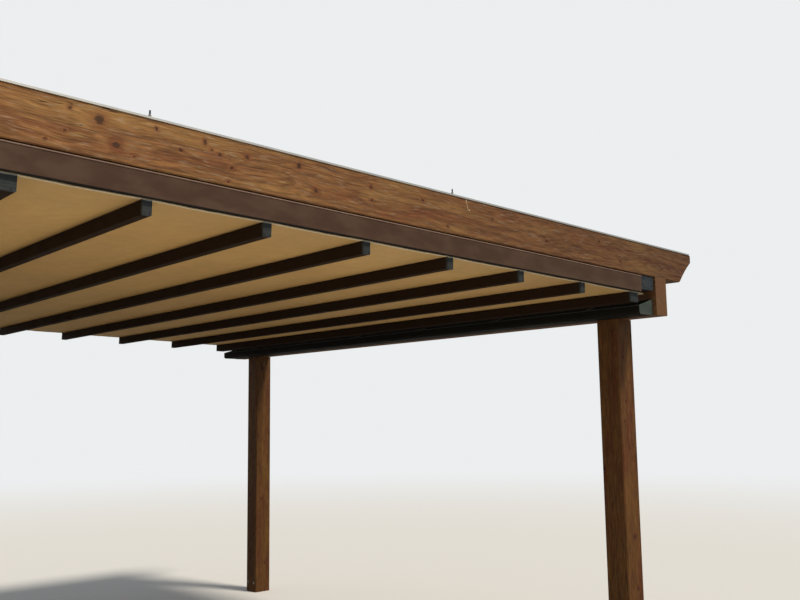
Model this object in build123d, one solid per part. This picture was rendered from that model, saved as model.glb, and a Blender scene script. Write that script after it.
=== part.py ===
# Timber pergola with a stretched fabric roof, in millimetres.
# X runs across from the left rafter to the right one, Y from the garden side (front) to the back, Z up.
# The origin lies on the ground, below the middle of the pergola.
import os
from math import cos, radians, tan

from build123d import *

# Timber frame
frame_width = 4920
beam_span = 4216
post_size = 160
post_chamfer = 6
post_inset = 279
front_post_height = 2255
beam_thickness = 120
beam_height = 240
beam_edge = 4
rafter_thickness = 120
rafter_height = 200
rafter_edge = 4
roof_slope = 1.56
seat_depth = 4
seat_clearance = 0.3

# Shaped rafter tails
tail_overhang = 312
tail_nose_height = 55
tail_cut_length = 142
tail_cut_hollow = 6
tail_rounding = 18
tail_heel_rounding = 30

# Metal cover along each rafter's top
flashing_thickness = 1.5
flashing_overlap = 2
flashing_drip = 7

# Guide rails under the rafters
guide_width = 104
guide_height = 104
guide_neck_width = 60
guide_neck_height = 3
guide_wall = 3
guide_corner = 3
guide_slot = 16
track_height = 46
guide_end_length = 128
guide_end_height = 85
guide_end_gap = 12
guide_end_rounding = 14
guide_end_lip = 4

# Carriages that run in the guide rails
carriage_length = 70
carriage_clearance = 1.5
carriage_neck_width = 11
carriage_neck_length = 26
roller_diameter = 24
roller_width = 9
roller_clearance = 0.3
roller_sides = 16

# Cross bars and their plastic end caps
bar_inset = 27
bar_width = 40
wide_bar_width = 80
bar_height = 60
bar_wall = 2.5
bar_corner = 3
bar_gutter_gap = 6
inner_bar_count = 6
end_bay_shortening = 20
cap_length = 12
cap_plug_length = 25
cap_plug_clearance = 0.3
cap_plug_wall = 4
cap_rib_count = 5
cap_rib_depth = 1.5
cap_corner = 2

# Fabric roof, drawn as one sheet that sags a little between the bars
canopy_thickness = 2
canopy_gap = 3
canopy_sag = 8
canopy_flap = 58
canopy_flap_drop = 12
canopy_notch_clearance = 2

# Gutter on the front beam
gutter_depth = 146
gutter_back_height = 101
gutter_lip_height = 56
gutter_wall = 2.5
gutter_rounding = 20
gutter_hem = 9
gutter_end_thickness = 3
gutter_inset = 27

# Drive shaft between the back ends of the guide rails
shaft_diameter = 35
shaft_wall = 2.5
motor_diameter = 62
motor_length = 640
motor_collar = 14
shaft_drop = 52

# Derived places
slope = tan(radians(roof_slope))
half_width = frame_width / 2
front_beam_y = -beam_span / 2
back_beam_y = beam_span / 2
rafter_x = half_width - rafter_thickness / 2
post_x = half_width - post_inset - post_size / 2
front_seat_z = front_post_height + beam_height
back_post_height = front_post_height + beam_span * slope
tail_y = beam_span / 2 + beam_thickness / 2 + tail_overhang


def underside(y):
    """Height of the rafters' underside at a place y."""
    return front_seat_z - seat_depth + (y - front_beam_y) * slope


# The roof frame lies on the rafters' underside: v runs up the slope from the front beam's middle,
# and w stands square to the slope.
roof = Pos(0, front_beam_y, underside(front_beam_y)) * Rot(roof_slope, 0, 0)
roof_length = beam_span / cos(radians(roof_slope))
rail_end = beam_thickness / 2 + guide_end_gap
rail_start = rail_end + guide_end_length
rail_length = roof_length - 2 * rail_start
guide_top = -guide_neck_height
guide_bottom = guide_top - guide_height
track_ceiling = guide_bottom + guide_wall + track_height
canopy_top = guide_bottom - canopy_gap
bar_top = canopy_top - canopy_thickness
bar_length = frame_width - 2 * bar_inset
terminal_v = beam_thickness / 2 + gutter_depth + bar_gutter_gap + wide_bar_width / 2
bar_pitch = (roof_length - 2 * terminal_v + 2 * end_bay_shortening) / (inner_bar_count + 1)
bar_places = [("bar_terminal", terminal_v, wide_bar_width)]
for number in range(inner_bar_count):
    place = terminal_v + (number + 1) * bar_pitch - end_bay_shortening
    bar_places.append((f"bar_{number + 1}", place, bar_width))
bar_places.append(("bar_head", roof_length - terminal_v, wide_bar_width))

os.makedirs("parts", exist_ok=True)


def save(name, *solids):
    """Write one node, made of one solid or of several that stay apart."""
    shape = solids[0] if len(solids) == 1 else Compound(children=list(solids))
    export_step(shape, f"parts/{name}.step")


def box_between(low, high):
    """Box from its lowest corner to its highest."""
    size = [b - a for a, b in zip(low, high)]
    middle = [(a + b) / 2 for a, b in zip(low, high)]
    return Pos(*middle) * Box(*size)


def across(outline, start, length):
    """Extrude a closed YZ outline along +X from the place start."""
    profile = Plane.YZ.offset(start) * make_face(outline)
    return extrude(profile, length)


def along_roof(profile, start, length):
    """Extrude an X-W section up the slope, from v = start in the roof frame."""
    section = Plane(origin=(0, start, 0), x_dir=(1, 0, 0), z_dir=(0, -1, 0))
    return extrude(section * profile, -length)


def post(x, y, height):
    """Square post with chamfered long edges, standing on the ground."""
    blank = Pos(x, y, height / 2) * Box(post_size, post_size, height)
    return chamfer(blank.edges().filter_by(Axis.Z), post_chamfer)


def beam(y, bottom):
    """Level beam across the posts, with chamfered long edges."""
    blank = Pos(0, y, bottom + beam_height / 2) * Box(frame_width, beam_thickness, beam_height)
    return chamfer(blank.edges().filter_by(Axis.X), beam_edge)


def tail_corners(side):
    """Corners of one rafter tail from its top to its underside, side -1 at the front and 1 at the back."""
    nose = side * tail_y
    heel = side * (tail_y - tail_cut_length)
    nose_foot = (nose, underside(nose) + rafter_height - tail_nose_height)
    heel_point = (heel, underside(heel))
    middle = ((nose_foot[0] + heel_point[0]) / 2, (nose_foot[1] + heel_point[1]) / 2)
    run = (heel_point[0] - nose_foot[0], heel_point[1] - nose_foot[1])
    size = (run[0] ** 2 + run[1] ** 2) ** 0.5
    hollow = tail_cut_hollow / size
    dip = (middle[0] + side * run[1] * hollow, middle[1] - side * run[0] * hollow)
    return (nose, underside(nose) + rafter_height), nose_foot, dip, heel_point


def rafter_outline():
    """Side view of a rafter with a shaped tail at both ends."""
    front_top, front_foot, front_dip, front_heel = tail_corners(-1)
    back_top, back_foot, back_dip, back_heel = tail_corners(1)
    return [
        Line(front_heel, back_heel),
        ThreePointArc(back_heel, back_dip, back_foot),
        Line(back_foot, back_top),
        Line(back_top, front_top),
        Line(front_top, front_foot),
        ThreePointArc(front_foot, front_dip, front_heel),
    ]


def rafter(x):
    """Sloping rafter, notched to sit level on both beams."""
    blank = across(rafter_outline(), x - rafter_thickness / 2, rafter_thickness)
    noses, heels = [], []
    for side in (-1, 1):
        top, nose_foot, _, heel = tail_corners(side)
        corners = blank.edges().filter_by(Axis.X)
        noses += [corners.sort_by_distance((x, *corner))[0] for corner in (top, nose_foot)]
        heels.append((x, *heel))
    blank = fillet(noses, tail_rounding)
    corners = blank.edges().filter_by(Axis.X)
    blank = fillet([corners.sort_by_distance(heel)[0] for heel in heels], tail_heel_rounding)
    sides = blank.faces().filter_by(Axis.X)
    blank = chamfer(sides.edges(), rafter_edge)
    for y in (front_beam_y, back_beam_y):
        top = underside(y) + seat_depth
        half = beam_thickness / 2 + seat_clearance
        notch = box_between((x - rafter_thickness, y - half, top - beam_height),
                            (x + rafter_thickness, y + half, top))
        blank -= notch
    return blank


def flashing(x):
    """Folded metal cover on the rafter's top, with a short drip edge down each side."""
    low = -tail_y + tail_rounding
    high = tail_y - tail_rounding
    inner = rafter_thickness / 2 + flashing_overlap
    outer = inner + flashing_thickness

    def slab(half, rise, fall):
        outline = Polyline(
            (low, underside(low) + rafter_height + rise),
            (high, underside(high) + rafter_height + rise),
            (high, underside(high) + rafter_height - fall),
            (low, underside(low) + rafter_height - fall),
            close=True,
        )
        return across(outline, x - half, 2 * half)

    return slab(outer, flashing_thickness, flashing_drip) - slab(inner, 0, 2 * flashing_drip)


def rail_section():
    """Guide rail section: neck, closed upper chamber and slotted track below."""
    body = Pos(0, (guide_top + guide_bottom) / 2) * RectangleRounded(guide_width, guide_height, guide_corner)
    neck = Pos(0, (guide_top - guide_wall) / 2) * Rectangle(guide_neck_width, guide_neck_height + guide_wall)
    inner = guide_width - 2 * guide_wall
    upper_height = guide_height - track_height - 3 * guide_wall
    upper = Pos(0, guide_top - guide_wall - upper_height / 2) * Rectangle(inner, upper_height)
    track = Pos(0, track_ceiling - track_height / 2) * Rectangle(inner, track_height)
    mouth = Pos(0, guide_bottom) * Rectangle(guide_slot, 3 * guide_wall)
    return body + neck - upper - track - mouth


def guide_rail(x):
    """Extruded rail along the slope, under the middle of its rafter."""
    return roof * Pos(x, 0, 0) * along_roof(rail_section(), rail_start, rail_length)


def guide_end(x, place, side):
    """Cast end housing that closes the rail, shallower than the rail and rounded below."""
    length = guide_end_length
    middle = place + side * length / 2
    blank = Pos(0, middle, guide_top - guide_end_height / 2) * Box(guide_width, length, guide_end_height)
    end_face = blank.faces().sort_by(Axis.Y)[-1 if side > 0 else 0]
    foot = end_face.edges().filter_by(Axis.X).sort_by(Axis.Z)[0]
    blank = fillet(foot, guide_end_rounding)
    neck = Pos(0, middle, guide_top / 2) * Box(guide_neck_width, length, guide_neck_height)
    far = middle + side * (length / 2 - guide_end_lip / 2)
    lip = Pos(0, far, guide_top - guide_end_height / 2) * Box(guide_width, guide_end_lip, guide_end_height)
    lip = fillet(lip.edges().filter_by(Axis.Y), guide_corner)
    return roof * Pos(x, 0, 0) * (blank + neck + (lip & blank))


def cross_bar(place, width):
    """Hollow extruded bar that hangs below the fabric."""
    middle = bar_top - bar_height / 2
    outer = RectangleRounded(width, bar_height, bar_corner)
    inner = Rectangle(width - 2 * bar_wall, bar_height - 2 * bar_wall)
    tube_length = bar_length - 2 * cap_length
    profile = Plane.YZ.offset(-tube_length / 2) * Pos(place, middle) * (outer - inner)
    return roof * extrude(profile, tube_length)


def bar_cap(side, place, width):
    """Plastic plug for a bar's end: a ribbed block outside and a hollow plug inside the tube."""
    middle = bar_top - bar_height / 2
    face = side * (bar_length / 2 - cap_length)
    block = Pos(face + side * cap_length / 2, place, middle) * Box(cap_length, width, bar_height)
    block = chamfer(block.edges().filter_by(Axis.X), cap_corner)
    rib_pitch = bar_height / cap_rib_count
    for number in range(1, cap_rib_count):
        height = middle - bar_height / 2 + number * rib_pitch
        groove = Pos(face + side * cap_length, place, height) * Rot(0, 45, 0)
        block -= groove * Box(cap_rib_depth, width * 2, cap_rib_depth)
    plug_width = width - 2 * bar_wall - 2 * cap_plug_clearance
    plug_height = bar_height - 2 * bar_wall - 2 * cap_plug_clearance
    plug = Box(cap_plug_length, plug_width, plug_height)
    plug -= Box(2 * cap_plug_length, plug_width - 2 * cap_plug_wall, plug_height - 2 * cap_plug_wall)
    return roof * (block + Pos(face - side * cap_plug_length / 2, place, middle) * plug)


def carriage(x, place):
    """Trolley in the rail: a body with four rollers, and a neck that holds the bar through the fabric."""
    track_floor = guide_bottom + guide_wall
    body_width = guide_width - 2 * guide_wall - 2 * roller_width - 2 * carriage_clearance
    body_height = track_height - 2 * carriage_clearance
    middle = track_floor + track_height / 2
    body = Pos(x, place, middle) * Box(body_width, carriage_length, body_height)
    roller = extrude(RegularPolygon(roller_diameter / 2, roller_sides), roller_width)
    roller_y = carriage_length / 2 - roller_diameter / 2
    roller_z = track_floor + roller_clearance + roller_diameter / 2
    for across_side in (-1, 1):
        for along_side in (-1, 1):
            spot = Pos(x + across_side * body_width / 2, place + along_side * roller_y, roller_z)
            body += spot * Rot(0, across_side * 90, 0) * roller
    neck_top = middle - body_height / 2
    neck_height = neck_top - bar_top
    neck = Pos(x, place, bar_top + neck_height / 2)
    return roof * (body + neck * Box(carriage_neck_width, carriage_neck_length, neck_height))


def canopy_chain(height):
    """One face of the sheet in side view: flat over each bar, a shallow arc between two bars."""
    first = bar_places[0]
    flap_end = (first[1] - first[2] / 2 - canopy_flap, height - canopy_flap_drop)
    chain = [Line(flap_end, (first[1] - first[2] / 2, height))]
    for index, (_, place, width) in enumerate(bar_places):
        start = (place - width / 2, height)
        end = (place + width / 2, height)
        chain.append(Line(start, end))
        if index + 1 < len(bar_places):
            _, next_place, next_width = bar_places[index + 1]
            next_start = (next_place - next_width / 2, height)
            dip = ((end[0] + next_start[0]) / 2, height - canopy_sag)
            chain.append(ThreePointArc(end, dip, next_start))
    return chain, flap_end, (bar_places[-1][1] + bar_places[-1][2] / 2, height)


def canopy():
    """Fabric sheet over all the bars, cut away round each carriage neck."""
    upper, upper_front, upper_back = canopy_chain(canopy_top)
    lower, lower_front, lower_back = canopy_chain(canopy_top - canopy_thickness)
    outline = upper + lower + [Line(upper_front, lower_front), Line(upper_back, lower_back)]
    sheet = across(outline, -bar_length / 2, bar_length)
    notch_width = carriage_neck_width + 2 * canopy_notch_clearance
    notch_length = carriage_neck_length + 2 * canopy_notch_clearance
    for side in (-1, 1):
        for _, place, _ in bar_places:
            spot = Pos(side * rafter_x, place, canopy_top)
            sheet -= spot * Box(notch_width, notch_length, 4 * canopy_thickness)
    return roof * sheet


def gutter_corners(offset):
    """Gutter section against the front beam, shrunk inwards by an offset."""
    back = front_beam_y + beam_thickness / 2 + offset
    lip = front_beam_y + beam_thickness / 2 + gutter_depth - offset
    floor = front_post_height + offset
    return back, lip, floor


def gutter():
    """Folded gutter: tall back wall on the beam, rounded lower corner and a hemmed lip."""
    back, lip, floor = gutter_corners(0)
    inner_back, inner_lip, inner_floor = gutter_corners(gutter_wall)
    back_top = floor + gutter_back_height
    lip_top = floor + gutter_lip_height
    outline = Polyline(
        (back, back_top),
        (back, floor),
        (lip, floor),
        (lip, lip_top),
        (lip - gutter_hem, lip_top),
        (lip - gutter_hem, lip_top - gutter_wall),
        (inner_lip, lip_top - gutter_wall),
        (inner_lip, inner_floor),
        (inner_back, inner_floor),
        (inner_back, back_top),
        close=True,
    )
    length = frame_width - 2 * gutter_inset - 2 * gutter_end_thickness
    channel = across(outline, -length / 2, length)
    inner_corner = channel.edges().filter_by(Axis.X).sort_by_distance((0, inner_lip, inner_floor))[0]
    channel = fillet(inner_corner, gutter_rounding - gutter_wall)
    outer_corner = channel.edges().filter_by(Axis.X).sort_by_distance((0, lip, floor))[0]
    return fillet(outer_corner, gutter_rounding)


def gutter_end(side):
    """End plate of the gutter, with a sloping top from the back wall down to the lip."""
    back, lip, floor = gutter_corners(0)
    outline = Polyline(
        (back, floor),
        (lip, floor),
        (lip, floor + gutter_lip_height),
        (back, floor + gutter_back_height),
        close=True,
    )
    start = half_width - gutter_inset - gutter_end_thickness
    if side < 0:
        start = -half_width + gutter_inset
    plate = across(outline, start, gutter_end_thickness)
    corner = plate.edges().filter_by(Axis.X).sort_by_distance((0, lip, floor))[0]
    return fillet(corner, gutter_rounding)


def drive_line():
    """Tubular shaft between the back end housings, with the motor tube in its middle."""
    inner_face = rafter_x - guide_width / 2
    middle = roof_length - rail_end - guide_end_length / 2
    spot = Pos(0, middle, guide_top - shaft_drop) * Rot(0, 90, 0)
    shaft = Cylinder(shaft_diameter / 2, 2 * inner_face)
    shaft -= Cylinder(shaft_diameter / 2 - shaft_wall, 3 * inner_face)
    motor_hole = Cylinder(motor_diameter / 2, motor_length)
    motor = Cylinder(motor_diameter / 2, motor_length)
    motor = chamfer(motor.edges(), shaft_wall)
    for side in (-1, 1):
        spot_on_motor = Pos(0, 0, side * (motor_length / 2 - 2 * motor_collar))
        motor += spot_on_motor * Cylinder(motor_diameter / 2 + shaft_wall, motor_collar)
    halves = (shaft - motor_hole).solids()
    return [roof * spot * half for half in halves], roof * spot * motor


# Posts, beams and rafters
for side_name, side in (("left", -1), ("right", 1)):
    save(f"post_front_{side_name}", post(side * post_x, front_beam_y, front_post_height))
    save(f"post_back_{side_name}", post(side * post_x, back_beam_y, back_post_height))
    save(f"rafter_{side_name}", rafter(side * rafter_x))
    save(f"flashing_{side_name}", flashing(side * rafter_x))
save("beam_front", beam(front_beam_y, front_post_height))
save("beam_back", beam(back_beam_y, back_post_height))

# Guide rails, their end housings and the carriages
for side_name, side in (("left", -1), ("right", 1)):
    save(f"guide_rail_{side_name}", guide_rail(side * rafter_x))
    save(f"guide_end_front_{side_name}", guide_end(side * rafter_x, rail_start, -1))
    save(f"guide_end_back_{side_name}", guide_end(side * rafter_x, roof_length - rail_start, 1))
    trolleys = [carriage(side * rafter_x, place) for _, place, _ in bar_places]
    save(f"carriages_{side_name}", *trolleys)

# Bars and their caps
for name, place, width in bar_places:
    save(name, cross_bar(place, width))
for side_name, side in (("left", -1), ("right", 1)):
    caps = [bar_cap(side, place, width) for _, place, width in bar_places]
    save(f"bar_caps_{side_name}", *caps)

# Fabric, gutter and drive line
save("canopy", canopy())
save("gutter", gutter())
save("gutter_end_left", gutter_end(-1))
save("gutter_end_right", gutter_end(1))
shaft_halves, motor_tube = drive_line()
save("drive_shaft", *shaft_halves)
save("drive_motor", motor_tube)
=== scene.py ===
# Timber pergola with a stretched fabric roof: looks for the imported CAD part, in metres.
import random
from math import atan2, cos, pi, radians, sin

import bpy
from mathutils import Euler, Matrix, Vector


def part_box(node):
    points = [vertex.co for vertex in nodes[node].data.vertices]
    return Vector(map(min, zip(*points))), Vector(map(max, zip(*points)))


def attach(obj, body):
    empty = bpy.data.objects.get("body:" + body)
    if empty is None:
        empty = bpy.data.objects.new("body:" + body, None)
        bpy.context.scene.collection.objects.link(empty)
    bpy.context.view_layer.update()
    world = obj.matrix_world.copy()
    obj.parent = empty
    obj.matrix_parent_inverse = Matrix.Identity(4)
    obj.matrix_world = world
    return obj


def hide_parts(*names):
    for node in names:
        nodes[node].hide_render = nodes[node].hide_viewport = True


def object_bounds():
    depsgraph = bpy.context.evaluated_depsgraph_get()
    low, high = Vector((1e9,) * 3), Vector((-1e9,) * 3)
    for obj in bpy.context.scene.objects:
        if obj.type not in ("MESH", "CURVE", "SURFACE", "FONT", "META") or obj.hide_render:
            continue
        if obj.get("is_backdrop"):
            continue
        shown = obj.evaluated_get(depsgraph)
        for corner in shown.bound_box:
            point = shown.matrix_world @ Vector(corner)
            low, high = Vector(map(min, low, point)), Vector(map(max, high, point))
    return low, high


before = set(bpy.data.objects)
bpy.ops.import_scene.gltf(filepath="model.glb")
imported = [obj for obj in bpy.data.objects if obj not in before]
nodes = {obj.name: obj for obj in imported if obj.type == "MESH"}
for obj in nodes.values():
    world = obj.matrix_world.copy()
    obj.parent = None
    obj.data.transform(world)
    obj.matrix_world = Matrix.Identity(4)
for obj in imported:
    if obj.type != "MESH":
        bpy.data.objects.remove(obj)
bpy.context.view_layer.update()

# Posts
# Four square softwood posts, planed, chamfered and stained dark brown. Each one stands on the ground and
# carries a beam. A steel blade let into its foot is held by two bolts, whose heads show on both sides.
post_stain = {
    "early": "#6b461e",
    "late": "#462610",
    "red": "#5f2d16",
    "yellow": "#765021",
    "pale": "#725833",
    "knot": "#20120a",
    "end": "#3a2415",
    "far": "#ffffff",
}


def linear(colour):
    """Linear RGBA of an sRGB hex colour."""
    parts = [int(colour[i:i + 2], 16) / 255 for i in (1, 3, 5)]
    parts = [p / 12.92 if p <= 0.04045 else ((p + 0.055) / 1.055) ** 2.4 for p in parts]
    return (*parts, 1.0)


def add(tree, kind, values=None, **settings):
    """Add a node. Settings are its properties, values go to its inputs, and a socket in them is a link."""
    node = tree.nodes.new(kind)
    for name, value in settings.items():
        setattr(node, name, value)
    for name, value in (values or {}).items():
        if isinstance(value, bpy.types.NodeSocket):
            tree.links.new(value, node.inputs[name])
        else:
            node.inputs[name].default_value = value
    return node


def start_material(name, colour, roughness, metallic=0.0, specular=0.5):
    """New material with its shader, whose plain colour also shows in a viewport."""
    material = bpy.data.materials.new(name)
    material.use_nodes = True
    material.diffuse_color = linear(colour)
    shader = material.node_tree.nodes["Principled BSDF"]
    shader.inputs["Base Color"].default_value = linear(colour)
    shader.inputs["Roughness"].default_value = roughness
    shader.inputs["Metallic"].default_value = metallic
    shader.inputs["Specular IOR Level"].default_value = specular
    return material, material.node_tree, shader


def laid_over(tree, base, colour, pattern, start, finish, most=1.0):
    """Base colour with a second one over it, which thickens while a pattern goes from start to finish."""
    share = {"Value": pattern, "From Min": start, "From Max": finish, "To Max": most}
    share = add(tree, "ShaderNodeMapRange", share, interpolation_type="SMOOTHSTEP").outputs[0]
    return add(tree, "ShaderNodeMix", {0: share, 6: base, 7: linear(colour)}, data_type="RGBA").outputs[2]


def shaded(tree, base, pattern, start, finish, dark, light):
    """Base colour times a number that goes from dark to light while a pattern goes from start to finish."""
    shade = {"Value": pattern, "From Min": start, "From Max": finish, "To Min": dark, "To Max": light}
    shade = add(tree, "ShaderNodeMapRange", shade, interpolation_type="SMOOTHSTEP").outputs[0]
    return add(tree, "ShaderNodeVectorMath", {0: base, "Scale": shade}, operation="SCALE").outputs[0]


def set_gloss(tree, shader, pattern, start, finish, first, last):
    """Roughness that goes from first to last while a pattern goes from start to finish."""
    gloss = {"Value": pattern, "From Min": start, "From Max": finish, "To Min": first, "To Max": last}
    gloss = add(tree, "ShaderNodeMapRange", gloss, interpolation_type="SMOOTHSTEP").outputs[0]
    tree.links.new(gloss, shader.inputs["Roughness"])


def clouded(tree, place, scale, detail=2.0):
    """Noise that is stretched along each axis by its own number of waves in a metre."""
    spread = add(tree, "ShaderNodeVectorMath", {0: place, 1: scale}, operation="MULTIPLY").outputs[0]
    return add(tree, "ShaderNodeTexNoise", {"Vector": spread, "Scale": 1.0, "Detail": detail})


def timber(name, turn, pith, seed, stain, knots, shade_span=(-9.0, 9.0)):
    """Planed softwood under a thin stain, so satin, streaky and redder at the knots. Growth rings lie 7 mm
    apart round a pith line along the piece, and each knot is a branch that leaves the pith, given as (place
    along it, angle round it, radius)."""
    ring_spacing = 0.007
    knot_stretch = 0.75
    half = (0.5, 0.5, 0.5)
    material, tree, shader = start_material(name, stain["early"], 0.66, specular=0.3)
    centre = Euler(turn).to_matrix() @ Vector(pith)
    place = add(tree, "ShaderNodeTexCoord").outputs["Object"]
    grain = add(tree, "ShaderNodeMapping", {"Vector": place, "Rotation": turn, "Location": -centre})
    grain = grain.outputs["Vector"]
    own = add(tree, "ShaderNodeVectorMath", {0: grain, 1: (seed, 1.7 * seed, 2.9 * seed)}, operation="ADD")
    own = own.outputs[0]
    # Knots are ovals, a third longer along the grain, with an uneven edge
    uneven = clouded(tree, own, (55, 80, 80), 3.0).outputs["Color"]
    uneven = add(tree, "ShaderNodeVectorMath", {0: uneven, 1: half}, operation="SUBTRACT").outputs[0]
    uneven = add(tree, "ShaderNodeVectorMath", {0: uneven, 1: (0.018,) * 3, 2: grain},
                 operation="MULTIPLY_ADD").outputs[0]
    oval = add(tree, "ShaderNodeVectorMath", {0: uneven, 1: (knot_stretch, 1, 1)}, operation="MULTIPLY")
    knot = None
    for along, angle, radius in knots:
        away = add(tree, "ShaderNodeVectorMath", {0: oval.outputs[0], 1: (knot_stretch * along, 0, 0)},
                   operation="SUBTRACT").outputs[0]
        branch = (0, cos(angle) / radius, sin(angle) / radius)
        away = add(tree, "ShaderNodeVectorMath", {0: away, 1: branch}, operation="CROSS_PRODUCT").outputs[0]
        away = add(tree, "ShaderNodeVectorMath", {0: away}, operation="LENGTH").outputs["Value"]
        knot = away if knot is None else add(tree, "ShaderNodeMath", {0: knot, 1: away},
                                             operation="MINIMUM").outputs[0]
    # Growth rings: the pith wanders by 15 mm, and the rings bulge round each knot
    slow = clouded(tree, own, (2.0, 3.0, 3.0)).outputs["Color"]
    slow = add(tree, "ShaderNodeVectorMath", {0: slow, 1: half}, operation="SUBTRACT").outputs[0]
    bent = add(tree, "ShaderNodeVectorMath", {0: slow, 1: (0, 0.05, 0.05), 2: grain},
               operation="MULTIPLY_ADD").outputs[0]
    cross = add(tree, "ShaderNodeVectorMath", {0: bent, 1: (0, 1, 1)}, operation="MULTIPLY").outputs[0]
    rings = add(tree, "ShaderNodeVectorMath", {0: cross}, operation="LENGTH").outputs["Value"]
    bulge = add(tree, "ShaderNodeMapRange", {0: knot, 1: 0.5, 2: 3.5, 3: 0.012, 4: 0.0},
                interpolation_type="SMOOTHSTEP").outputs[0]
    rings = add(tree, "ShaderNodeMath", {0: rings, 1: bulge}, operation="ADD").outputs[0]
    rings = add(tree, "ShaderNodeMath", {0: rings, 1: 1 / ring_spacing}, operation="MULTIPLY").outputs[0]
    rings = add(tree, "ShaderNodeTexNoise", {"W": rings, "Scale": 1.0, "Detail": 1.5}, noise_dimensions="1D")
    rings = rings.outputs["Fac"]
    ring = add(tree, "ShaderNodeMapRange", {0: rings, 1: 0.40, 2: 0.70},
               interpolation_type="SMOOTHSTEP").outputs[0]
    # Fibres 4 mm wide, coarser than real ones so that they show, and streaks of 11 mm
    bent = add(tree, "ShaderNodeVectorMath", {0: bent, 1: (seed, seed, seed)}, operation="ADD").outputs[0]
    fibre = clouded(tree, bent, (12, 260, 260), 5.0).outputs["Fac"]
    streak = clouded(tree, bent, (7, 90, 90), 3.0).outputs["Fac"]
    patch = clouded(tree, own, (1.8, 14, 14), 3.0).outputs["Color"]
    patch = add(tree, "ShaderNodeSeparateColor", {"Color": patch}).outputs
    fleck = clouded(tree, bent, (14, 120, 120), 3.0).outputs["Fac"]
    # Colour: earlywood, latewood, streaks, then redder, yellower and weathered patches of stain
    base = laid_over(tree, linear(stain["early"]), stain["late"], rings, 0.40, 0.70, 0.5)
    base = laid_over(tree, base, stain["late"], streak, 0.46, 0.74, 0.7)
    base = laid_over(tree, base, stain["red"], patch[0], 0.46, 0.68, 0.6)
    base = laid_over(tree, base, stain["yellow"], patch[1], 0.48, 0.70, 0.7)
    base = laid_over(tree, base, stain["yellow"], streak, 0.40, 0.28, 0.6)
    base = laid_over(tree, base, stain["pale"], fleck, 0.54, 0.72, 0.55)
    base = shaded(tree, base, fibre, 0.28, 0.72, 0.66, 1.28)
    # Round a knot the wood is red, and its core is nearly black
    base = laid_over(tree, base, stain["red"], knot, 3.2, 1.2, 0.5)
    base = laid_over(tree, base, stain["knot"], knot, 1.4, 0.5, 0.8)
    # Drying checks: hairlines along the grain, here and there
    check = clouded(tree, bent, (1.3, 42, 42), 1.0).outputs["Fac"]
    check = add(tree, "ShaderNodeMath", {0: check, 1: 0.5}, operation="SUBTRACT").outputs[0]
    check = add(tree, "ShaderNodeMath", {0: check}, operation="ABSOLUTE").outputs[0]
    check = add(tree, "ShaderNodeMapRange", {0: check, 1: 0.010, 2: 0.003},
                interpolation_type="SMOOTHSTEP").outputs[0]
    spots = add(tree, "ShaderNodeMapRange", {0: patch[2], 1: 0.55, 2: 0.62, 4: 0.75},
                interpolation_type="SMOOTHSTEP").outputs[0]
    check = add(tree, "ShaderNodeMath", {0: check, 1: spots}, operation="MULTIPLY").outputs[0]
    base = add(tree, "ShaderNodeMix", {0: check, 6: base, 7: linear(stain["knot"])},
               data_type="RGBA").outputs[2]
    # Painted shade can make the colour darker and greyer towards one end, and sawn ends drink more of the
    # stain
    along = add(tree, "ShaderNodeSeparateXYZ", {"Vector": grain}).outputs["X"]
    span = {"Value": along, "From Min": shade_span[1], "From Max": shade_span[0]}
    far = add(tree, "ShaderNodeMapRange", span).outputs[0]
    painted_shade_tint = add(tree, "ShaderNodeMix", {0: far, 6: (1, 1, 1, 1), 7: linear(stain["far"])},
               data_type="RGBA").outputs[2]
    base = add(tree, "ShaderNodeVectorMath", {0: base, 1: painted_shade_tint}, operation="MULTIPLY").outputs[0]
    axis = Euler(turn).to_matrix().inverted() @ Vector((1, 0, 0))
    facing = add(tree, "ShaderNodeNewGeometry").outputs["Normal"]
    facing = add(tree, "ShaderNodeVectorMath", {0: facing, 1: axis}, operation="DOT_PRODUCT")
    facing = facing.outputs["Value"]
    facing = add(tree, "ShaderNodeMath", {0: facing}, operation="ABSOLUTE").outputs[0]
    base = laid_over(tree, base, stain["end"], facing, 0.75, 0.95, 0.5)
    tree.links.new(base, shader.inputs["Base Color"])
    set_gloss(tree, shader, fibre, 0.3, 0.7, 0.78, 0.58)
    relief = add(tree, "ShaderNodeMath", {0: fibre, 1: ring}, operation="SUBTRACT").outputs[0]
    relief = add(tree, "ShaderNodeMath", {0: relief, 1: check}, operation="SUBTRACT").outputs[0]
    relief = add(tree, "ShaderNodeBump", {"Height": relief, "Strength": 0.5, "Distance": 0.0006})
    tree.links.new(relief.outputs[0], shader.inputs["Normal"])
    return material


def scattered_knots(seed, count, start, finish):
    """Knots of 4 to 12 mm radius at random places along a piece."""
    dice = random.Random(seed)
    return [(dice.uniform(start, finish), dice.uniform(-pi, pi), dice.uniform(0.004, 0.012))
            for _ in range(count)]


def finish_node(name, material):
    """Give a CAD node its finish."""
    node = nodes[name]
    node.data.materials.clear()
    node.data.materials.append(material)


def new_piece(name, mesh, material, smooth=True):
    """Piece from a mesh given as (vertices, faces), riding on the whole pergola."""
    data = bpy.data.meshes.new(name)
    data.from_pydata(mesh[0], [], mesh[1])
    data.validate()
    data.materials.append(material)
    if smooth:
        data.shade_smooth()
        data.set_sharp_from_angle(angle=radians(35))
    piece = bpy.data.objects.new(name, data)
    bpy.context.scene.collection.objects.link(piece)
    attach(piece, "root")
    return piece


def joined(meshes):
    """One mesh out of several."""
    points, faces = [], []
    for some_points, some_faces in meshes:
        faces += [tuple(len(points) + corner for corner in face) for face in some_faces]
        points += some_points
    return points, faces


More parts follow.
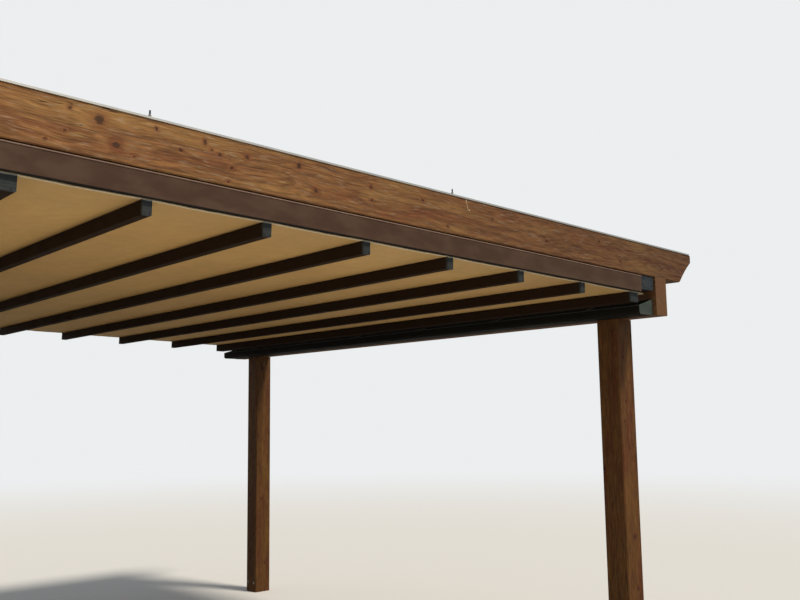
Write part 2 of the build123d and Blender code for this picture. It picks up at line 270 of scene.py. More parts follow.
def stacked(loops):
    """Closed form through loops of equally many points, with a flat face on the first and last loop."""
    sides = len(loops[0])
    points = [point for loop in loops for point in loop]
    faces = []
    for row in range(len(loops) - 1):
        for number in range(sides):
            after = (number + 1) % sides
            faces.append((row * sides + number, row * sides + after,
                          (row + 1) * sides + after, (row + 1) * sides + number))
    faces.append(tuple(reversed(range(sides))))
    faces.append(tuple(range((len(loops) - 1) * sides, len(loops) * sides)))
    return points, faces


def turned(profile, sides, start, direction):
    """Revolved form about a line from start along direction, from (radius, height) pairs."""
    spin = Vector((0, 0, 1)).rotation_difference(Vector(direction)).to_matrix()
    turns = [2 * pi * number / sides for number in range(sides)]
    return stacked([[Vector(start) + spin @ Vector((radius * cos(turn), radius * sin(turn), height))
                     for turn in turns] for radius, height in profile])


def hex_screw(head, height, washer, start, direction):
    """Hexagon head on a round washer, given as (radius, thickness). Only what stands proud is drawn."""
    disc = turned([(washer[0] * 0.94, 0), (washer[0], washer[1] * 0.3), (washer[0], washer[1] * 0.7),
                   (washer[0] * 0.9, washer[1])], 20, start, direction)
    top = Vector(start) + Vector(direction).normalized() * washer[1]
    bolt = turned([(head, 0), (head, height * 0.8), (head * 0.86, height)], 6, top, direction)
    return joined([disc, bolt])


def metal(name, colour, roughness, grit=0.0015):
    """Bare metal, sheet or turned: fine scatter in its gloss, which weather has dulled in patches."""
    material, tree, shader = start_material(name, colour, roughness, metallic=1.0)
    place = add(tree, "ShaderNodeTexCoord").outputs["Object"]
    cloud = clouded(tree, place, (9, 9, 9), 4.0).outputs["Fac"]
    base = shaded(tree, linear(colour)[:3], cloud, 0.35, 0.65, 0.8, 1.0)
    tree.links.new(base, shader.inputs["Base Color"])
    set_gloss(tree, shader, cloud, 0.35, 0.65, roughness + 0.12, roughness - 0.05)
    scatter = clouded(tree, place, (1 / grit,) * 3).outputs["Fac"]
    relief = add(tree, "ShaderNodeBump", {"Height": scatter, "Strength": 0.4, "Distance": 0.00004})
    tree.links.new(relief.outputs[0], shader.inputs["Normal"])
    return material


upright = (0.0, radians(90), 0.0)
bolt_head, bolt_head_height = 0.0065, 0.006
bolt_washer = (0.013, 0.002)
bolt_level, bolt_reach = 0.085, 0.050
post_names = ("post_front_left", "post_front_right", "post_back_left", "post_back_right")
bolts = []
for number, name in enumerate(post_names):
    low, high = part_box(name)
    middle = (low + high) / 2
    pith = (middle.x + 0.03, middle.y - 0.045, 0)
    knots = scattered_knots(31 + number, 14, 0.1, 2.3)
    wood = timber(f"stained_softwood_{name}", upright, pith, 1.7 + 2.3 * number, post_stain, knots)
    finish_node(name, wood)
    for y, side in ((low.y, -1), (high.y, 1)):
        for shift in (-bolt_reach, bolt_reach):
            bolts.append(hex_screw(bolt_head, bolt_head_height, bolt_washer,
                                   (middle.x + shift, y, bolt_level), (0, side, 0)))
zinc_steel = metal("zinc_plated_steel", "#b4b2aa", 0.42)
new_piece("foot_bolts", joined(bolts), zinc_steel)

# Beams
# Two level softwood beams, 120 by 240 mm, one on each pair of posts. Same planed timber under a brown stain,
# with chamfered long edges and sawn ends that show the rings.
beam_stain = {
    "early": "#7a522e",
    "late": "#50311b",
    "red": "#67381e",
    "yellow": "#896536",
    "pale": "#857154",
    "knot": "#2a160b",
    "end": "#6f5036",
    "far": "#ffffff",
}
level = (0.0, 0.0, 0.0)
for number, name in enumerate(("beam_front", "beam_back")):
    low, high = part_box(name)
    pith = (0, (low.y + high.y) / 2 + 0.02, low.z + 0.05)
    knots = scattered_knots(51 + number, 20, -2.4, 2.4)
    wood = timber(f"stained_softwood_{name}", level, pith, 11.3 + 3.1 * number, beam_stain, knots)
    finish_node(name, wood)

# Rafters
# One sloping softwood rafter at each side, notched over both beams, with a shaped tail at each end and a
# light brown stain, with painted shade that makes it darker and greyer towards the front. The knots are
# where the photo shows them on the left one, and the right one has them turned end for end.
rafter_stain = {
    "early": "#97683a",
    "late": "#653e22",
    "red": "#824826",
    "yellow": "#ad8247",
    "pale": "#a89174",
    "knot": "#301a0e",
    "end": "#5f3f22",
    # Painted shade: towards the front end the colour is multiplied by this grey
    "far": "#bab9c6",
}
roof_slope = radians(1.56)
seat_y, seat_z = -2.108, 2.491
rafter_x, rafter_face = 2.400, 2.460
sloping = (-roof_slope, 0.0, radians(-90))
pith_side, pith_height = 0.095, 0.070

# Each knot's place up the slope from the front beam, its height on the face and its radius
seen_knots = (
    (3.852, 0.029, 0.004), (3.785, 0.074, 0.005), (3.772, 0.160, 0.005), (3.663, 0.142, 0.014),
    (3.596, 0.062, 0.012), (3.524, 0.035, 0.005), (3.439, 0.160, 0.005), (3.335, 0.100, 0.005),
    (3.233, 0.155, 0.006), (3.201, 0.130, 0.005), (3.164, 0.117, 0.007), (3.108, 0.075, 0.006),
    (3.124, 0.016, 0.005), (3.039, 0.136, 0.008), (2.781, 0.152, 0.009), (2.689, 0.059, 0.009),
    (2.379, 0.136, 0.006), (2.372, 0.076, 0.006), (2.053, 0.134, 0.006), (1.884, 0.030, 0.006),
    (1.560, 0.120, 0.005), (1.119, 0.073, 0.008), (0.640, 0.140, 0.005), (0.430, 0.050, 0.006),
)


def roof_point(x, along, above):
    """Place in the roof frame: along runs up the slope from the front beam, above stands square to it."""
    return Vector((x, seat_y + along * cos(roof_slope) - above * sin(roof_slope),
                   seat_z + along * sin(roof_slope) + above * cos(roof_slope)))


middle_along = -seat_y / cos(roof_slope)
for number, name in enumerate(("rafter_left", "rafter_right")):
    side = (-1, 1)[number]
    pith = roof_point(side * (rafter_face - pith_side), middle_along, pith_height)
    knots = [(-side * (along - middle_along), atan2(height - pith_height, -side * pith_side), radius)
             for along, height, radius in seen_knots]
    wood = timber(f"stained_softwood_{name}", sloping, pith, 21.9 + 4.3 * number, rafter_stain, knots,
                  (-2.3, 2.0))
    finish_node(name, wood)

# Two dark pins in zinc collars, on the left rafter's top, and a nail that was bent flat on its face
black_steel = metal("blackened_steel", "#1d1c1b", 0.5)
roof_normal = Vector((0, -sin(roof_slope), cos(roof_slope)))
pin_x, pin_foot = -2.452, 0.2012
pin_shape = [(0.0033, 0.001), (0.0033, 0.0265), (0.0024, 0.028)]
collar_shape = [(0.0056, 0), (0.0060, 0.0005), (0.0060, 0.0095), (0.0050, 0.0105)]
pins, pin_collars = [], []
for along in (3.466, 1.846):
    foot = roof_point(pin_x, along, pin_foot)
    pins.append(turned(pin_shape, 12, foot, roof_normal))
    pin_collars.append(turned(collar_shape, 20, foot, roof_normal))
new_piece("roof_pins", joined(pins), black_steel)
new_piece("pin_collars", joined(pin_collars), zinc_steel)
nail_radius = 0.0022
nail_path = [roof_point(0.0015 - rafter_face - out, along, above) for along, above, out in (
    (1.757, 0.190, -0.006), (1.757, 0.189, 0.001), (1.755, 0.178, 0.0027), (1.751, 0.160, 0.0027),
    (1.746, 0.143, 0.0027), (1.739, 0.135, 0.0027), (1.731, 0.139, 0.0027))]
nail_loops = []
for place, centre in enumerate(nail_path):
    ahead = nail_path[min(place + 1, len(nail_path) - 1)] - nail_path[max(place - 1, 0)]
    outwards = ahead.cross(Vector((1, 0, 0)) if abs(ahead.normalized().x) < 0.9 else Vector((0, 0, 1)))
    outwards.normalize()
    sideways = ahead.normalized().cross(outwards)
    nail_loops.append([centre + nail_radius * (cos(turn) * outwards + sin(turn) * sideways)
                       for turn in (2 * pi * number / 8 for number in range(8))])
yellow_steel = metal("yellow_passivated_steel", "#f4d3a0", 0.5)
new_piece("bent_nail", stacked(nail_loops), yellow_steel)

# Flashings
# A cover of folded aluminium sheet along each rafter's top, left in its rolled finish and dulled by weather.
# It is laid in three lengths that lap by 40 mm, and screws with washers hold it down every 0.66 m.
aluminium_sheet = metal("rolled_aluminium_sheet", "#e0dfda", 0.5)
for name in ("flashing_left", "flashing_right"):
    finish_node(name, aluminium_sheet)
cover_top, cover_hem = 0.2015, 0.1925
cover_half, cover_sheet = 0.0634, 0.001
screw_spacing = 0.665
lap_length = 0.04
cover_inside = cover_half - cover_sheet
lap_section = [(-cover_half, cover_hem), (-cover_half, cover_top + 0.0008), (cover_half, cover_top + 0.0008),
               (cover_half, cover_hem), (cover_inside, cover_hem), (cover_inside, cover_top - 0.0003),
               (-cover_inside, cover_top - 0.0003), (-cover_inside, cover_hem)]
cover_screws, cover_laps = [], []
for x in (-rafter_x, rafter_x):
    for number in range(7):
        spot = roof_point(x, 0.05 + number * screw_spacing, cover_top)
        cover_screws.append(hex_screw(0.0045, 0.0035, (0.008, 0.0015), spot, roof_normal))
    for along in (1.38, 3.05):
        cover_laps.append(stacked([[roof_point(x + out, place, above) for out, above in lap_section]
                                   for place in (along, along + lap_length)]))
new_piece("cover_screws", joined(cover_screws), zinc_steel)
new_piece("cover_laps", joined(cover_laps), aluminium_sheet, smooth=False)

# Guide rails
# Extruded aluminium rails screwed up under the rafters and powder coated dark brown. A bead runs along their
# top edge in a pale coat, a painted highlight. Cast grey housings with screwed side covers close both ends.


def powder_coat(name, colour, roughness=0.5, dust="#6a5646", veil=0.3, specular=0.22):
    """Baked powder coat: an even colour with a 2 mm orange peel, drawn coarser than it is, and thin dust."""
    material, tree, shader = start_material(name, colour, roughness, specular=specular)
    place = add(tree, "ShaderNodeTexCoord").outputs["Object"]
    cloud = clouded(tree, place, (7, 7, 16), 5.0).outputs["Fac"]
    base = laid_over(tree, linear(colour), dust, cloud, 0.36, 0.66, veil)
    tree.links.new(base, shader.inputs["Base Color"])
    set_gloss(tree, shader, cloud, 0.4, 0.7, roughness - 0.05, roughness + 0.12)
    peel = clouded(tree, place, (500, 500, 500), 1.0).outputs["Fac"]
    relief = add(tree, "ShaderNodeBump", {"Height": peel, "Strength": 0.25, "Distance": 0.00008})
    tree.links.new(relief.outputs[0], shader.inputs["Normal"])
    return material


brown_coat = powder_coat("brown_powder_coat", "#4c3628")
# Pale coat on the rail beads: a painted highlight along the rails' top edge
highlight_bead_coat = powder_coat("pale_bead_coat_painted_highlight", "#96796a", 0.6, "#a89080")
grey_coat = powder_coat("grey_powder_coat", "#30363c", 0.5, "#4c5052")
for name in ("guide_rail_left", "guide_rail_right"):
    finish_node(name, brown_coat)
housings = ("guide_end_front_left", "guide_end_front_right", "guide_end_back_left", "guide_end_back_right")
for name in housings:
    finish_node(name, grey_coat)

rail_half = 0.052
rail_start, rail_finish = 0.2005, 4.0170
bead_section = [(-0.0010, -0.0066), (0.0018, -0.0066), (0.0030, -0.0078), (0.0030, -0.0096),
                (0.0018, -0.0110), (-0.0010, -0.0114)]
rail_beads = []
for x in (-rafter_x, rafter_x):
    for side in (-1, 1):
        rail_beads.append(stacked([[roof_point(x + side * (rail_half + out), along, above)
                                    for out, above in bead_section] for along in (rail_start, rail_finish)]))
new_piece("rail_beads", joined(rail_beads), highlight_bead_coat)


def moulded(name, colour, roughness=0.55):
    """Moulded plastic: a slightly cloudy colour and 1.2 mm grit, drawn coarser than its mould left it."""
    material, tree, shader = start_material(name, colour, roughness, specular=0.35)
    place = add(tree, "ShaderNodeTexCoord").outputs["Object"]
    cloud = clouded(tree, place, (30, 30, 30), 3.0).outputs["Fac"]
    base = shaded(tree, linear(colour)[:3], cloud, 0.3, 0.7, 0.85, 1.12)
    tree.links.new(base, shader.inputs["Base Color"])
    grit = clouded(tree, place, (830, 830, 830)).outputs["Fac"]
    relief = add(tree, "ShaderNodeBump", {"Height": grit, "Strength": 0.3, "Distance": 0.00008})
    tree.links.new(relief.outputs[0], shader.inputs["Normal"])
    return material


# Thin black strips under both lips of each rail: painted shade in the gap between each rail and the sheet
shade_strip_rubber = moulded("black_painted_shade_strip", "#151514", 0.8)
shade_strip_section = [(0.034, -0.1066), (0.034, -0.1078), (0.0505, -0.1082), (0.0515, -0.1066)]
rail_shade_strips = []
for x in (-rafter_x, rafter_x):
    for side in (-1, 1):
        rail_shade_strips.append(stacked([[roof_point(x + side * out, along, above) for out, above in shade_strip_section]
                                   for along in (rail_start, rail_finish)]))
new_piece("rail_shade_strips", joined(rail_shade_strips), shade_strip_rubber, smooth=False)

# A flat cover with one cut corner on both sides of each housing, 1.6 mm thick, set 12 mm in from its ends
cover_inset, cover_middle, cover_face = 0.012, -0.044, 0.0016
screw_shape = [(0.0042, 0), (0.0042, 0.0007), (0.0030, 0.0016)]
housing_covers, housing_screws = [], []
for name in housings:
    low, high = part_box(name)
    start = (low.y - seat_y) / cos(roof_slope) + cover_inset
    length = (high.y - low.y) / cos(roof_slope) - 2 * cover_inset
    middle = start + length / 2
    x = (low.x + high.x) / 2
    outline = [(0, -0.012), (length, -0.012), (length, -0.076), (0.014, -0.076), (0, -0.062)]
    if low.y > 0:
        outline = [(length - along, above) for along, above in outline]
    for side in (-1, 1):
        loops = [[roof_point(x + side * (rail_half + out), middle + share * (along - length / 2),
                             cover_middle + share * (above - cover_middle)) for along, above in outline]
                 for out, share in ((-0.0005, 1.0), (0.0010, 1.0), (cover_face, 0.985))]
        housing_covers.append(stacked(loops))
        for spot_along in (0.010, length - 0.010):
            for above in (-0.021, -0.062):
                spot = roof_point(x + side * (rail_half + cover_face), start + spot_along, above)
                housing_screws.append(turned(screw_shape, 12, spot, (side, 0, 0)))
new_piece("housing_covers", joined(housing_covers), grey_coat)
new_piece("housing_screws", joined(housing_screws), black_steel)

# Carriages
# Moulded nylon trolleys with four rollers each, one in each rail for every bar. They run in the rails, and
# each one's neck reaches down through the slot and the fabric and holds its bar.
nylon = moulded("moulded_nylon", "#242628")
for name in ("carriages_left", "carriages_right"):
    finish_node(name, nylon)

# Cross bars
# Eight hollow aluminium bars under the fabric, extruded, powder coated dark brown and hung from the
# carriages.
# Their coat is drawn darker than the rails', as painted shade under the roof. The first and the last are
# twice as wide as the rest.
# Dark brown coat, drawn darker still as painted shade
bar_coat_with_painted_shade = powder_coat("bar_powder_coat_painted_shade", "#2f2218", 0.7, "#3e3022", 0.12, 0.08)
bar_names = ["bar_terminal"] + [f"bar_{number}" for number in range(1, 7)] + ["bar_head"]
for name in bar_names:
    finish_node(name, bar_coat_with_painted_shade)

# Bar caps
# Moulded dark grey plastic plugs with five ribs and a pale lip along their top. One closes each end of a bar
# and is held by two screws.
cap_plastic = moulded("moulded_cap_plastic", "#2f3434")
lip_plastic = moulded("moulded_pale_lip", "#aab0ae")
for name in ("bar_caps_left", "bar_caps_right"):
    finish_node(name, cap_plastic)

# Each bar's place up the slope and its width, which is one of two
plain_bar, wide_bar, bar_middle = 0.04, 0.08, 0.142
bar_places = []
for name in bar_names:
    low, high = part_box(name)
    width = (high.y - low.y) / cos(roof_slope)
    place = ((low.y + high.y) / 2 - seat_y - bar_middle * sin(roof_slope)) / cos(roof_slope)
    bar_places.append((place, wide_bar if width > (plain_bar + wide_bar) / 2 else plain_bar))

cap_end = 2.433
cap_screw_shape = [(0.0024, 0), (0.0024, 0.0006), (0.0016, 0.0012)]
cap_screw_level, cap_screw_share = -0.166, 0.28
lip_top, lip_bottom = -0.1128, -0.1156
cap_screws, cap_lips = [], []
for side in (-1, 1):
    for place, width in bar_places:
        for shift in (-cap_screw_share, cap_screw_share):
            spot = roof_point(side * (cap_end - 0.0003), place + shift * width, cap_screw_level)
            cap_screws.append(turned(cap_screw_shape, 12, spot, (side, 0, 0)))
        reach = width / 2 - 0.001
        lip = [(-reach, lip_top), (reach, lip_top), (reach, lip_bottom), (-reach, lip_bottom)]
        cap_lips.append(stacked([[roof_point(side * (cap_end + out), place + along, above)
                                  for along, above in lip] for out in (-0.0005, 0.0012)]))
new_piece("cap_screws", joined(cap_screws), black_steel)
new_piece("cap_lips", joined(cap_lips), lip_plastic, smooth=False)

# Fabric roof
# One sheet of PVC-coated polyester, clamped on every bar, which sags a little between two bars. A cord in
# each side hem holds it nearly straight, and a second strip is welded over the sheet above each bar.
cloth_top = -0.110
cloth_edge = 2.433
cloth_thickness = 0.0012
sag_depth = 0.012
flap_length, flap_fall, flap_steps = 0.058, 0.012, 6
bay_steps = 22
neck_gap = (0.0075, 0.015)
column_step = 0.045
hem_hold = 0.30


def bay_sag(share):
    """Depth of the sag at a share of the way between two bars: steep at the bars, flat in the middle."""
    return sag_depth * (1 - (2 * share - 1) ** 2)


def cloth_rows():
    """Places along the roof with the sheet's drop below the bars' level, and how free the sheet is there."""
    first_place, first_width = bar_places[0]
    front_end = first_place - first_width / 2
    rows = [(front_end - flap_length + flap_length * step / flap_steps, flap_fall * (1 - step / flap_steps),
             0.3) for step in range(flap_steps)]
    for number, (place, width) in enumerate(bar_places):
        start, end = place - width / 2, place + width / 2
        for spot in (start, place - neck_gap[1], place, place + neck_gap[1], end):
            rows.append((spot, 0.0, 0.0))
        if number + 1 < len(bar_places):
            next_place, next_width = bar_places[number + 1]
            finish = next_place - next_width / 2
            for step in range(1, bay_steps):
                share = step / bay_steps
                rows.append((end + share * (finish - end), bay_sag(share), sin(pi * share)))
    return rows


def cloth_columns():
    """Places across the sheet, close together at the hems and round the carriage necks."""
    half = [0.0]
    while half[-1] < 2.34:
        half.append(half[-1] + column_step)
    half = half[:-1] + [2.36, 2.378, rafter_x - neck_gap[0], rafter_x, rafter_x + neck_gap[0], 2.415, 2.424,
                        cloth_edge]
    return [-x for x in reversed(half[1:])] + half


def cloth_point(x, along, drop, free):
    """Place on the sheet: the hems stay nearly straight, and slack folds cross the bays between the bars."""
    inside = min(1.0, (cloth_edge - abs(x)) / hem_hold)
    held = 0.12 + 0.88 * inside * inside * (3 - 2 * inside)
    side = 1 if x > 0 else -1
    hem = 0.0008 * (1 - inside) ** 2 * (1 + sin(along * 47 + side * 1.3) * cos(along * 19 + 0.4))
    folds = 0.0012 * sin(x * 5.3 + 2.1 * sin(along * 3.1)) + 0.0006 * sin(x * 13.7 + along * 9.0)
    return roof_point(x, along, cloth_top - drop * (held if free > 0 else 1) - free * (hem + folds * inside))


rows, columns = cloth_rows(), cloth_columns()
cloth_points = [cloth_point(x, along, drop, free) for along, drop, free in rows for x in columns]
cloth_faces = []
necks = [place for place, _ in bar_places]
for row in range(len(rows) - 1):
    for column in range(len(columns) - 1):
        middle_of_row = (rows[row][0] + rows[row + 1][0]) / 2
        middle_of_column = (columns[column] + columns[column + 1]) / 2
        over_neck = min(abs(middle_of_row - place) for place in necks) < neck_gap[1]
        if over_neck and abs(abs(middle_of_column) - rafter_x) < neck_gap[0]:
            continue
        corner = row * len(columns) + column
        cloth_faces.append((corner, corner + 1, corner + len(columns) + 1, corner + len(columns)))


def coated_cloth(name, colour, shade):
    """PVC-coated polyester: a satin plastic skin over a weave of 1 mm threads, drawn as a 6 mm grid so that
    it shows, with faint clouds in the coating, a little dust and pull lines between the bars. Light soaks
    through it."""
    drawn_pitch = 0.006
    material, tree, shader = start_material(name, colour, 0.6, specular=0.3)
    shader.inputs["Subsurface Weight"].default_value = 0.12
    shader.inputs["Subsurface Radius"].default_value = (1.0, 0.92, 0.6)
    shader.inputs["Subsurface Scale"].default_value = 0.006
    place = add(tree, "ShaderNodeTexCoord").outputs["Object"]
    cloud = clouded(tree, place, (1.1, 2.4, 2.4), 5.0).outputs["Fac"]
    base = laid_over(tree, linear(colour), shade, cloud, 0.35, 0.68, 0.6)
    dust = clouded(tree, place, (17, 17, 17), 5.0).outputs["Fac"]
    base = shaded(tree, base, dust, 0.25, 0.75, 0.955, 1.045)
    tree.links.new(base, shader.inputs["Base Color"])
    axes = add(tree, "ShaderNodeSeparateXYZ", {"Vector": place})
    warp = add(tree, "ShaderNodeMath", {0: axes.outputs["X"], 1: 2 * pi / drawn_pitch}, operation="MULTIPLY")
    warp = add(tree, "ShaderNodeMath", {0: warp.outputs[0]}, operation="SINE")
    weft = add(tree, "ShaderNodeMath", {0: axes.outputs["Y"], 1: 2 * pi / drawn_pitch}, operation="MULTIPLY")
    weft = add(tree, "ShaderNodeMath", {0: weft.outputs[0]}, operation="SINE")
    weave = add(tree, "ShaderNodeMath", {0: warp.outputs[0], 1: weft.outputs[0]}, operation="MULTIPLY")
    pull = clouded(tree, place, (16, 2.2, 2.2), 2.0).outputs["Fac"]
    pull = add(tree, "ShaderNodeBump", {"Height": pull, "Strength": 0.4, "Distance": 0.003}).outputs[0]
    relief = {"Height": weave.outputs[0], "Strength": 0.3, "Distance": 0.0002, "Normal": pull}
    tree.links.new(add(tree, "ShaderNodeBump", relief).outputs[0], shader.inputs["Normal"])
    return material


cloth = coated_cloth("pvc_coated_polyester", "#d9af70", "#c79d61")
strip_cloth = coated_cloth("pvc_weld_strip", "#dab67c", "#cdaa6f")
# The hems' pale cream is a painted highlight along the sheet's edges and the front flap
hem_cloth_pale_highlight = coated_cloth("pvc_hem_cord_cover_painted_highlight", "#ead9b6", "#dcc8a0")
canopy = new_piece("canopy_cloth", (cloth_points, cloth_faces), cloth, smooth=False)
canopy.data.shade_smooth()
thick = canopy.modifiers.new("thickness", "SOLIDIFY")
thick.thickness = cloth_thickness
thick.offset = -1.0
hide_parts("canopy")

# Hem cords, as tubes along the sheet's side edges, with the 16 mm flat of each hem under the sheet, and the
# hem of the front flap
hem_width, flat_top, flat_bottom = 0.0160, 0.0010, 0.0018
cord_inset, cord_rise = 0.0022, 0.0007
cord_width, cord_height = 0.0020, 0.0017
flap_cord = 0.0028
hems = []
for side in (-1, 1):
    cords, flats = [], []
    for along, drop, free in rows:
        centre = cloth_point(side * (cloth_edge - cord_inset), along, drop, free) + roof_normal * cord_rise
        cords.append([centre + Vector((cord_width * cos(turn), 0, 0))
                      + roof_normal * (cord_height * sin(turn))
                      for turn in (2 * pi * number / 8 for number in range(8))])
        outer = cloth_point(side * (cloth_edge - 0.0004), along, drop, free)
        inner = cloth_point(side * (cloth_edge - hem_width), along, drop, free)
        flats.append([outer - roof_normal * flat_top, inner - roof_normal * flat_top,
                      inner - roof_normal * flat_bottom, outer - roof_normal * flat_bottom])
    hems += [stacked(cords), stacked(flats)]
flap_along, flap_drop, flap_free = rows[0]
hems.append(stacked([[cloth_point(x, flap_along + 0.003, flap_drop, flap_free)
                      + Vector((0, flap_cord * cos(turn), flap_cord * sin(turn) - 0.0004))
                      for turn in (2 * pi * number / 8 for number in range(8))] for x in columns]))
hem_piece = new_piece("canopy_hems", joined(hems), hem_cloth_pale_highlight)

weld_reach, weld_overlap = 2.330, 0.022
weld_strips = []
for place, width in bar_places:
    half = width / 2 + weld_overlap
    section = [(-half, -0.0002), (-half + 0.002, 0.0008), (half - 0.002, 0.0008), (half, -0.0002)]
    weld_strips.append(stacked([[roof_point(x, place + out, cloth_top + above) for out, above in section]
                                for x in (-weld_reach, weld_reach)]))
weld_piece = new_piece("canopy_weld_strips", joined(weld_strips), strip_cloth, smooth=False)

# Gutter
# A gutter folded from dark coated aluminium sheet, with a hemmed lip, screwed to the front beam. Straps tie
# its lip back to the beam every 0.8 m, and its grey-green end plates are riveted on.
gutter_coat = powder_coat("dark_gutter_coat", "#1f1d19", 0.65, "#2c2922", 0.12, 0.08)
plate_coat = powder_coat("grey_green_coat", "#404b46", 0.55, "#555a53")
# The lip bead's paler coat is a painted highlight along it; the rivets share that coat
lip_highlight_and_rivet_coat = powder_coat("gutter_lip_painted_highlight_and_rivets", "#45443e", 0.55, "#55534b")
finish_node("gutter", gutter_coat)
for name in ("gutter_end_left", "gutter_end_right"):
    finish_node(name, plate_coat)
gutter_low, gutter_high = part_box("gutter")
lip_height = 0.056
lip_y, lip_z = gutter_high.y, gutter_low.z + lip_height
strap_spacing, strap_half = 0.8, 0.0125
strap_front, strap_back = lip_y - 0.006, gutter_low.y + 0.004
strap_section = [(strap_front, lip_z), (strap_front, lip_z + 0.0016), (strap_back, lip_z + 0.034),
                 (strap_back, lip_z + 0.0324)]
strap_rivet = [(0.004, 0), (0.004, 0.001), (0.0028, 0.002)]
straps, rivets = [], []
for number in range(6):
    x = -2.0 + strap_spacing * number
    straps.append(stacked([[Vector((x + side, y, z)) for y, z in strap_section]
                           for side in (-strap_half, strap_half)]))
    rivets.append(turned(strap_rivet, 12, (x, lip_y - 0.010, lip_z + 0.0028), (0, 0, 1)))
bead = [(lip_y - 0.0008, lip_z - 0.0035), (lip_y + 0.0008, lip_z - 0.0028), (lip_y + 0.0012, lip_z - 0.0010),
        (lip_y + 0.0004, lip_z + 0.0008), (lip_y - 0.0030, lip_z + 0.0008), (lip_y - 0.0030, lip_z - 0.0010)]
lip = stacked([[Vector((x, y, z)) for y, z in bead] for x in (gutter_low.x, gutter_high.x)])
plate_rivet = [(0.0032, 0), (0.0032, 0.0006), (0.0020, 0.0014)]
plate_rivet_places = ((0.014, 0.014), (0.014, 0.084), (0.075, 0.014), (0.110, 0.046), (0.075, 0.064))
for name in ("gutter_end_left", "gutter_end_right"):
    low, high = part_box(name)
    side = 1 if low.x > 0 else -1
    face = high.x if side > 0 else low.x
    for outwards, upwards in plate_rivet_places:
        spot = (face, low.y + outwards, low.z + upwards)
        rivets.append(turned(plate_rivet, 12, spot, (side, 0, 0)))
new_piece("gutter_straps", joined(straps), gutter_coat)
new_piece("gutter_lip", lip, lip_highlight_and_rivet_coat)
new_piece("gutter_rivets", joined(rivets), lip_highlight_and_rivet_coat)

# Drive line
# A galvanised steel tube between the back ends of the rails, with a tube motor in its middle. A turned
# collar with a grub screw holds the shaft at each housing, and set screws hold the motor's two rings.
shaft_steel = metal("galvanised_steel_tube", "#a9aaa6", 0.4)
finish_node("drive_shaft", shaft_steel)
motor_coat = powder_coat("grey_motor_coat", "#4b4e50", 0.45, "#5e5f5c")
finish_node("drive_motor", motor_coat)
motor_low, motor_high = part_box("drive_motor")
axis_y, axis_z = (motor_low.y + motor_high.y) / 2, (motor_low.z + motor_high.z) / 2
# A collar and a flange on the shaft beside each housing, as (place, radius, half depth)
collar_x, collar_radius = 2.318, 0.0245
shaft_rings = ((collar_x, collar_radius, 0.0055), (2.342, 0.0300, 0.0035))
grub_shape = [(0.0030, 0), (0.0030, 0.0012), (0.0018, 0.0012), (0.0016, 0.0006)]
motor_screw_shape = [(0.0028, 0), (0.0028, 0.0010), (0.0018, 0.0014)]
motor_ring_x, motor_ring_radius = 0.292, 0.0333
collars, grubs = [], []
for side in (-1, 1):
    for x, radius, depth in shaft_rings:
        ring = [(radius - 0.002, -depth), (radius, -depth + 0.0015), (radius, depth - 0.0015),
                (radius - 0.002, depth)]
        collars.append(turned(ring, 28, (side * x, axis_y, axis_z), (1, 0, 0)))
    grub_spot = (side * collar_x, axis_y, axis_z - collar_radius + 0.0002)
    grubs.append(turned(grub_shape, 12, grub_spot, (0, 0, -1)))
    for turn in (radians(30), radians(150), radians(270)):
        out = Vector((0, cos(turn), sin(turn)))
        spot = Vector((side * motor_ring_x, axis_y, axis_z)) + motor_ring_radius * out
        grubs.append(turned(motor_screw_shape, 12, spot, out))
new_piece("shaft_collars", joined(collars), zinc_steel)
new_piece("shaft_screws", joined(grubs), black_steel)

# Floor, light and camera
# A plain pale floor that fades into a plain pale backdrop, one large soft light and an even sky. For the
# light that it throws back the floor is grey, and pale beside the left rafter, so that the roof's underside
# is bright along that side and falls into its own shade further in.
floor_radius = 60.0
floor_colour = "#d6d6d4"
pale_middle, pale_inner, pale_outer = (-3.9, 0.9, 0.0), 1.6, 3.0
fade_start, fade_end = 6.0, 22.0
floor_disc = turned([(floor_radius, -0.02), (floor_radius, 0.0)], 64, (0, 0, 0), (0, 0, 1))
floor_mesh = bpy.data.meshes.new("floor")
floor_mesh.from_pydata(floor_disc[0], [], floor_disc[1])
floor = bpy.data.objects.new("floor", floor_mesh)
bpy.context.scene.collection.objects.link(floor)
floor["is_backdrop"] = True
backdrop_colour = "#eceeef"
floor_paint, tree, shader = start_material("matt_studio_floor", floor_colour, 0.9, specular=0.2)
seen = add(tree, "ShaderNodeLightPath").outputs["Is Camera Ray"]
place = add(tree, "ShaderNodeTexCoord").outputs["Object"]
beside = add(tree, "ShaderNodeVectorMath", {0: place, 1: pale_middle}, operation="DISTANCE")
beside = beside.outputs["Value"]
thrown = laid_over(tree, linear("#7c7c7a"), "#f2f2f0", beside, pale_outer, pale_inner)
base = add(tree, "ShaderNodeMix", {0: seen, 6: thrown, 7: linear(floor_colour)}, data_type="RGBA")
tree.links.new(base.outputs[2], shader.inputs["Base Color"])
away = add(tree, "ShaderNodeVectorMath", {0: place}, operation="LENGTH").outputs["Value"]
fade = add(tree, "ShaderNodeMapRange", {0: away, 1: fade_start, 2: fade_end},
           interpolation_type="SMOOTHSTEP").outputs[0]
fade = add(tree, "ShaderNodeMath", {0: fade, 1: seen}, operation="MULTIPLY").outputs[0]
glow = add(tree, "ShaderNodeEmission", {"Color": linear(backdrop_colour), "Strength": 1.0}).outputs[0]
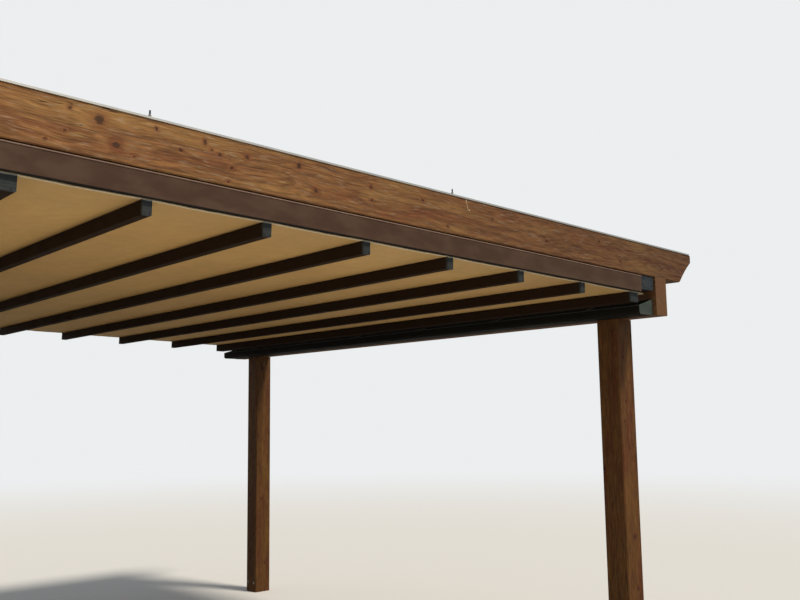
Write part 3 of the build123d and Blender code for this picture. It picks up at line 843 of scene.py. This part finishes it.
blend = add(tree, "ShaderNodeMixShader", {0: fade, 1: shader.outputs[0], 2: glow}).outputs[0]
tree.links.new(blend, tree.nodes["Material Output"].inputs["Surface"])
floor_mesh.materials.append(floor_paint)

world = bpy.data.worlds.new("studio")
bpy.context.scene.world = world
world.use_nodes = True
tree = world.node_tree
tree.nodes.clear()
seen = add(tree, "ShaderNodeLightPath").outputs["Is Camera Ray"]
sky = add(tree, "ShaderNodeBackground", {"Color": linear("#e8edf2"), "Strength": 0.42}).outputs[0]
backdrop = add(tree, "ShaderNodeBackground", {"Color": linear(backdrop_colour), "Strength": 1.0}).outputs[0]
both = add(tree, "ShaderNodeMixShader", {0: seen, 1: sky, 2: backdrop}).outputs[0]
add(tree, "ShaderNodeOutputWorld", {"Surface": both})

key_direction = (-0.50, -0.17, 0.85)
key = bpy.data.lights.new("key", "SUN")
key.energy = 3.0
key.angle = radians(12)
key.color = linear("#fff4e4")[:3]
key_light = bpy.data.objects.new("key", key)
key_light.rotation_mode = "QUATERNION"
key_light.rotation_quaternion = Vector(key_direction).to_track_quat("Z", "Y")
bpy.context.scene.collection.objects.link(key_light)

# The camera stands where the photo was taken: its place, angles and lens are fitted to the photo's edges
camera_place = (-5.51124, 2.84599, 1.65366)
yaw, pitch, roll = radians(42.00613), radians(7.370244), radians(-0.7856316)
lens_length = 40.375
ahead = Vector((cos(yaw) * cos(pitch), -sin(yaw) * cos(pitch), sin(pitch)))
right = ahead.cross(Vector((0, 0, 1))).normalized()
up = right.cross(ahead)
right, up = cos(roll) * right + sin(roll) * up, cos(roll) * up - sin(roll) * right
camera_data = bpy.data.cameras.new("camera")
camera_data.sensor_width = 36.0
camera_data.lens = lens_length
camera = bpy.data.objects.new("camera", camera_data)
turn = Matrix((right, up, -ahead)).transposed().to_4x4()
camera.matrix_world = Matrix.Translation(camera_place) @ turn
bpy.context.scene.collection.objects.link(camera)
bpy.context.scene.camera = camera
bpy.context.scene.view_settings.view_transform = "Standard"

low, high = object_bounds()
